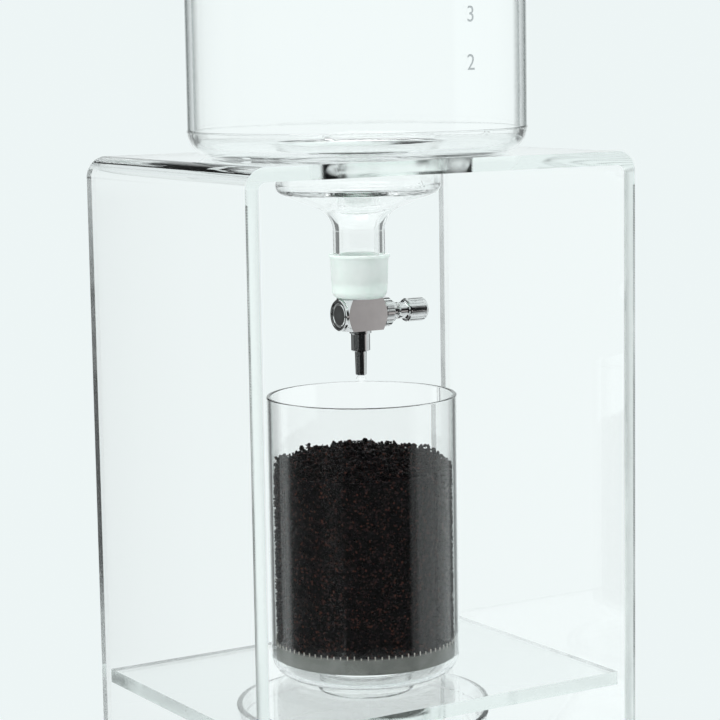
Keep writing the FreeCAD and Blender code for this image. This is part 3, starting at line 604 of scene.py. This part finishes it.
SETTLE = 2.6 * MM
GRAIN_TONES = ((0.0, (0.0015, 0.0013, 0.0014)), (0.5, (0.002, 0.0018, 0.002)), (0.72, (0.006, 0.005, 0.006)),
               (0.90, (0.024, 0.014, 0.014)), (1.0, (0.07, 0.026, 0.018)))


def heap_height(x, y, radius, side, top):
    """Height of the rough mound over a point of the cup."""
    away = math.hypot(x, y) / radius
    swell = (top - side) * max(0.0, 1 - away ** HEAP_POWER)
    lump = LUMP_HEIGHT * noise.noise(Vector((x, y, 0)) * LUMP_SCALE)
    crumb = CRUMB_HEIGHT * noise.noise(Vector((y, x, 1)) * CRUMB_SCALE)
    return side + swell + (lump + crumb)


def grain_shape():
    """Corners and faces of one round grain, from which the broken ones are bent."""
    ball = bmesh.new()
    bmesh.ops.create_icosphere(ball, subdivisions=1, radius=0.5)
    corners = np.array([tuple(vertex.co) for vertex in ball.verts])
    faces = np.array([[vertex.index for vertex in face.verts] for face in ball.faces])
    ball.free()
    return corners, faces


def broken_grains(centres, sizes, chance):
    """Broken grains at the given centres as corners and faces: bent, stretched and turned."""
    corners, faces = grain_shape()
    count = len(centres)
    stretch = chance.uniform(*GRAIN_STRETCH, (count, 1, 3)) * sizes[:, None, None]
    bent = corners[None] * chance.uniform(*GRAIN_DENT, (count, len(corners), 1)) * stretch
    turns = chance.normal(size=(count, 4))
    w, x, y, z = (turns / np.linalg.norm(turns, axis=1, keepdims=True)).T
    turn = np.stack([1 - 2 * (y * y + z * z), 2 * (x * y - z * w), 2 * (x * z + y * w),
                     2 * (x * y + z * w), 1 - 2 * (x * x + z * z), 2 * (y * z - x * w),
                     2 * (x * z - y * w), 2 * (y * z + x * w), 1 - 2 * (x * x + y * y)], 1).reshape(-1, 3, 3)
    placed = np.einsum("nij,nkj->nki", turn, bent) + centres[:, None]
    shifted = faces[None] + (np.arange(count) * len(corners))[:, None, None]
    return placed.reshape(-1, 3), shifted.reshape(-1, 3)


def coffee_core(radius, foot, side, peak):
    """The closed core as points and faces: an upright rough wall with the mound on it."""
    core = radius - CORE_INSET
    angles = [2 * math.pi * step / CORE_STEPS for step in range(CORE_STEPS)]
    points, faces = [], []
    for level in range(CORE_RINGS + 1):
        up = foot + (side - foot) * level / CORE_RINGS
        for angle in angles:
            spot = Vector((math.cos(angle) * 40, math.sin(angle) * 40, up * 1400))
            rough = CORE_ROUGH * noise.noise(spot)
            points.append(((core + rough) * math.cos(angle), (core + rough) * math.sin(angle), up))
    for ring in range(1, HEAP_RINGS + 1):
        reach = core * (1 - HEAP_STEP * ring)
        for angle in angles:
            x, y = reach * math.cos(angle), reach * math.sin(angle)
            points.append((x, y, heap_height(x, y, radius, side, peak) - CORE_SUNK))
    for ring in range(CORE_RINGS + HEAP_RINGS):
        lower, upper = ring * CORE_STEPS, (ring + 1) * CORE_STEPS
        for step in range(CORE_STEPS):
            after = (step + 1) % CORE_STEPS
            faces.append((lower + step, lower + after, upper + after, upper + step))
    last = (CORE_RINGS + HEAP_RINGS) * CORE_STEPS
    faces.append(tuple(range(last, last + CORE_STEPS)))
    faces.append(tuple(reversed(range(CORE_STEPS))))
    return points, faces


def coffee_grains(radius, foot, side, peak, ceiling):
    """All single grains as corners and faces: against the glass first, then over the mound."""
    chance = np.random.default_rng(SEED)
    angle = chance.uniform(0, 2 * math.pi, SIDE_GRAINS)
    reach = radius - chance.uniform(*SIDE_DEPTHS, SIDE_GRAINS) * MM
    up = chance.uniform(foot + SIDE_LOW, side + SIDE_OVER, SIDE_GRAINS)
    side_centres = np.stack([reach * np.cos(angle), reach * np.sin(angle), up], 1)
    angle = chance.uniform(0, 2 * math.pi, TOP_GRAINS)
    away = radius * np.sqrt(chance.random(TOP_GRAINS)) * TOP_REACH
    lifts = chance.uniform(*TOP_LIFTS, TOP_GRAINS) * MM
    top_centres = [(x, y, heap_height(x, y, radius, side, peak) + lift)
                   for x, y, lift in zip(away * np.cos(angle), away * np.sin(angle), lifts)]
    sizes = GRAIN_SIZE * np.concatenate([chance.uniform(*SIDE_SIZES, SIDE_GRAINS),
                                         chance.uniform(*TOP_SIZES, TOP_GRAINS)])
    corners, faces = broken_grains(np.concatenate([side_centres, np.array(top_centres)]), sizes, chance)
    away = np.hypot(corners[:, 0], corners[:, 1])
    corners[:, :2] *= np.minimum(1, (radius - GRAIN_GAP) / away)[:, None]
    corners[:, 2] = np.minimum(corners[:, 2], ceiling)
    return corners, faces


def coffee_mesh():
    """The whole bed as one mesh: the core and every grain."""
    low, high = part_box("coffee_bed")
    radius = (high[0] - low[0]) / 2
    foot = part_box("filter_ring")[1][2] + CORE_FOOT
    side = high[2] - HEAP - SETTLE
    peak = high[2] - SETTLE / 2
    points, faces = coffee_core(radius, foot, side, peak)
    grains, grain_faces = coffee_grains(radius, foot, side, peak, high[2] + GRAIN_OVER)
    faces += [tuple(face) for face in (grain_faces + len(points)).tolist()]
    mesh = bpy.data.meshes.new("ground_coffee")
    mesh.from_pydata(points + [tuple(point) for point in grains.tolist()], [], faces)
    return mesh


def coffee_finish():
    """Near black, with single grains in dark and red browns and an oily sheen."""
    material, shader = new_finish("ground_coffee", (0.02, 0.012, 0.009), 0.55, Specular_IOR_Level=0.10)
    tree = material.node_tree
    place = add_node(tree, "ShaderNodeTexCoord")
    cells = add_node(tree, "ShaderNodeTexVoronoi", Scale=1500.0)
    tree.links.new(place.outputs["Object"], cells.inputs["Vector"])
    pick = add_node(tree, "ShaderNodeSeparateColor")
    tree.links.new(cells.outputs["Color"], pick.inputs["Color"])
    tint = add_ramp(tree, pick.outputs["Red"], GRAIN_TONES)
    gloss = remap(tree, pick.outputs["Green"], To_Min=0.28, To_Max=0.7)
    tree.links.new(tint, shader.inputs["Base Color"])
    tree.links.new(gloss, shader.inputs["Roughness"])
    return material


coffee = link("ground_coffee", coffee_mesh(), "strainer", coffee_finish())
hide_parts("coffee_bed")

# Table, light and camera: a white sweep behind, a dark room in front and pale walls at both sides.
# MIRRORED is that room in chrome and glass, as pairs of bearing around the tower and brightness.
# BENT is what a ray meets when it leaves glass after a mirroring: dark only near the view's own slope.
PALE = (0.85, 0.915, 0.915, 1)
MIRRORED = ((-180, 0.90), (-166, 0.88), (-160, 0.06), (-124, 0.05), (-121, 0.22), (-91, 0.20),
            (-87, 0.04), (-38, 0.05), (-30, 0.012), (66, 0.012), (70, 0.66), (129, 0.74),
            (133, 0.06), (158, 0.08), (166, 0.88), (180, 0.90))
BENT = ((-180, 1.0), (-164, 1.0), (-158, 0.20), (-125, 0.20), (-122, 0.84), (-106, 0.78),
        (-100, 0.16), (-84, 0.06), (-30, 0.02), (58, 0.02), (63, 0.72), (128, 0.80),
        (134, 0.20), (158, 0.22), (164, 1.0), (180, 1.0))
VIEW_SLOPE = 0.157
RISE_START, RISE_FULL = 0.096, 0.103
FLOOR_REACH = 40.0
SHADE_NEAR, SHADE_FAR = 0.20, 0.55
CARD_DARK, CARD_LIGHT = (0.20, 0.19, 0.19), (0.78, 0.75, 0.74)
CARD_GLOW = 0.85
CARD_WIDTH, CARD_HEIGHT = 0.10, 0.05
CARD_AWAY, CARD_BELOW = 0.25, 0.033
FILL_COLOUR = (0.80, 0.84, 0.84, 1)
FILL_STRENGTH = 0.75
EYE = Vector((-0.39928, -0.64895, 0.36703))
YAW, PITCH, ROLL = math.radians(31.581), math.radians(7.553), math.radians(-0.932)
SENSOR = 36.0
FOCAL_PIXELS, WIDTH_PIXELS = 2325.9, 720
BOUNCES, CLEAR_BOUNCES = 24, 32
middle = Vector((0, 0, 0.24))
ahead = Vector((math.sin(YAW), math.cos(YAW), 0))
beside = Vector((math.cos(YAW), -math.sin(YAW), 0))


def shade(level):
    """A faintly cool grey of the given brightness."""
    return 0.94 * level, level, level, 1


def room_group():
    """Colour of the room in a direction from the tower: dark in front, pale behind and above."""
    group, source, result = new_group("room_glow", {"Direction": "Vector"},
                                      {"Mirrored": "Color", "Bent": "Color"})
    parts = []
    for axis in (beside, -ahead):
        dot = add_node(group, "ShaderNodeVectorMath", operation="DOT_PRODUCT")
        dot.inputs[1].default_value = axis
        group.links.new(source.outputs["Direction"], dot.inputs[0])
        parts.append(dot.outputs["Value"])
    turn = remap(group, reckon(group, "ARCTAN2", *parts), From_Min=-math.pi, From_Max=math.pi)
    mirrored, bent = (
        add_ramp(group, turn, [(degrees / 360 + 0.5, shade(level)) for degrees, level in bearings])
        for bearings in (MIRRORED, BENT))
    aim = add_node(group, "ShaderNodeVectorMath", operation="NORMALIZE")
    split = add_node(group, "ShaderNodeSeparateXYZ")
    group.links.new(source.outputs["Direction"], aim.inputs[0])
    group.links.new(aim.outputs[0], split.inputs[0])
    slope = reckon(group, "ABSOLUTE", reckon(group, "ADD", split.outputs["Z"], VIEW_SLOPE))
    rise = remap(group, slope, From_Min=RISE_START, From_Max=RISE_FULL)
    group.links.new(mirrored, result.inputs["Mirrored"])
    group.links.new(mix_colours(group, rise, bent, PALE), result.inputs["Bent"])
    return group


def seen_colour(tree, room, direction):
    """Plain pale for the camera, and the room's own brightness for mirrored and bent rays."""
    glow = add_node(tree, "ShaderNodeGroup", node_tree=room)
    tree.links.new(direction, glow.inputs["Direction"])
    path = add_node(tree, "ShaderNodeLightPath")
    mirrored = mix_colours(tree, path.outputs["Is Glossy Ray"], PALE, glow.outputs["Mirrored"])
    through = mix_colours(tree, path.outputs["Glossy Depth"], shade(1.0), glow.outputs["Bent"])
    colour = mix_colours(tree, path.outputs["Is Transmission Ray"], mirrored, through)
    return colour, reckon(tree, "SUBTRACT", 1.0, path.outputs["Is Diffuse Ray"])


def floor_finish(room):
    """White paper that shades only near the tower and melts into the background away from it."""
    material, shader = new_finish("white_sweep", (0.86, 0.88, 0.89), 0.7)
    tree = material.node_tree
    place = add_node(tree, "ShaderNodeNewGeometry")
    onward = add_node(tree, "ShaderNodeVectorMath", operation="SCALE", Scale=-1.0)
    tree.links.new(place.outputs["Incoming"], onward.inputs[0])
    colour, sight = seen_colour(tree, room, onward.outputs[0])
    glow = add_node(tree, "ShaderNodeEmission", Strength=1.0)
    tree.links.new(colour, glow.inputs["Color"])
    away = add_node(tree, "ShaderNodeVectorMath", operation="LENGTH")
    tree.links.new(place.outputs["Position"], away.inputs[0])
    fade = remap(tree, away.outputs["Value"], From_Min=SHADE_NEAR, From_Max=SHADE_FAR,
                 interpolation_type="SMOOTHSTEP")
    share = reckon(tree, "MULTIPLY", fade, sight)
    mix_surface(tree, share, shader.outputs["BSDF"], glow.outputs["Emission"])
    return material


def put(thing, place, look_at):
    """Sets a thing in the scene, its -Z side facing a point."""
    bpy.context.scene.collection.objects.link(thing)
    thing.location = place
    thing.rotation_euler = (Vector(look_at) - Vector(place)).to_track_quat("-Z", "Y").to_euler()


def panel(name, width, height, place, look_at, material):
    """A flat stage panel that faces a point."""
    mesh = bpy.data.meshes.new(name)
    half, tall = width / 2, height / 2
    corners = [(-half, -tall, 0), (half, -tall, 0), (half, tall, 0), (-half, tall, 0)]
    mesh.from_pydata(corners, [], [(0, 1, 2, 3)])
    mesh.materials.append(material)
    piece = bpy.data.objects.new(name, mesh)
    put(piece, place, look_at)
    return piece


room = room_group()
panel("white_floor", 2 * FLOOR_REACH, 2 * FLOOR_REACH, (0, 0, 0), (0, 0, -1), floor_finish(room))
card_glow = bpy.data.materials.new("card_glow")
card_glow.use_nodes = True
tree = card_glow.node_tree
place = add_node(tree, "ShaderNodeTexCoord")
slope = add_node(tree, "ShaderNodeTexGradient")
shine = add_node(tree, "ShaderNodeEmission", Strength=CARD_GLOW)
tree.links.new(place.outputs["Generated"], slope.inputs["Vector"])
fall = add_ramp(tree, slope.outputs["Fac"], ((0.0, CARD_DARK), (1.0, CARD_LIGHT)))
tree.links.new(fall, shine.inputs["Color"])
tree.links.new(shine.outputs["Emission"], tree.nodes["Material Output"].inputs["Surface"])
tap = Vector([(low + high) / 2 for low, high in zip(*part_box("tap_body"))])
card_side = math.cos(2 * YAW) * -ahead + math.sin(2 * YAW) * beside
card_place = tap + CARD_AWAY * card_side - Vector((0, 0, CARD_BELOW))
card = panel("tap_card", CARD_WIDTH, CARD_HEIGHT, card_place, tap, card_glow)
for ray in ("camera", "diffuse", "shadow", "transmission"):
    setattr(card, "visible_" + ray, False)


def soft_box(name, width, height, watts, place, look_at):
    """An area lamp that faces a point."""
    data = bpy.data.lights.new(name, "AREA")
    data.shape = "RECTANGLE"
    data.size = width
    data.size_y = height
    data.energy = watts
    lamp = bpy.data.objects.new(name, data)
    put(lamp, place, look_at)
    return lamp


soft_box("top_light", width=1.0, height=1.0, watts=7, place=(-0.3, -0.2, 1.5), look_at=(0, 0, 0.2))
side_place = middle - beside * 0.95 - ahead * 0.45 + Vector((0, 0, 0.35))
side_lamp = soft_box("side_light", width=0.5, height=0.7, watts=4.5, place=side_place, look_at=middle)
side_lamp.visible_glossy = False
side_lamp.visible_transmission = False

world = bpy.data.worlds.new("white_room")
bpy.context.scene.world = world
world.use_nodes = True
tree = world.node_tree
fill = tree.nodes["Background"]
fill.inputs["Color"].default_value = FILL_COLOUR
fill.inputs["Strength"].default_value = FILL_STRENGTH
place = add_node(tree, "ShaderNodeTexCoord")
colour, sight = seen_colour(tree, room, place.outputs["Generated"])
seen_room = add_node(tree, "ShaderNodeBackground", Strength=1.0)
tree.links.new(colour, seen_room.inputs["Color"])
mix_surface(tree, sight, fill.outputs["Background"], seen_room.outputs["Background"], "World Output")

data = bpy.data.cameras.new("photo_view")
data.sensor_width = SENSOR
data.lens = SENSOR * FOCAL_PIXELS / WIDTH_PIXELS
data.clip_start = 0.01
camera = bpy.data.objects.new("photo_view", data)
bpy.context.scene.collection.objects.link(camera)
forward = Vector((math.sin(YAW) * math.cos(PITCH), math.cos(YAW) * math.cos(PITCH), -math.sin(PITCH)))
upright = beside.cross(forward)
right = math.cos(ROLL) * beside + math.sin(ROLL) * upright
above = -math.sin(ROLL) * beside + math.cos(ROLL) * upright
turn = Matrix((right, above, -forward)).transposed()
camera.matrix_world = Matrix.Translation(EYE) @ turn.to_4x4()
bpy.context.scene.camera = camera
bpy.context.scene.view_settings.view_transform = "Standard"
bpy.context.scene.cycles.max_bounces = BOUNCES
bpy.context.scene.cycles.transmission_bounces = BOUNCES
bpy.context.scene.cycles.glossy_bounces = BOUNCES
bpy.context.scene.cycles.transparent_max_bounces = CLEAR_BOUNCES
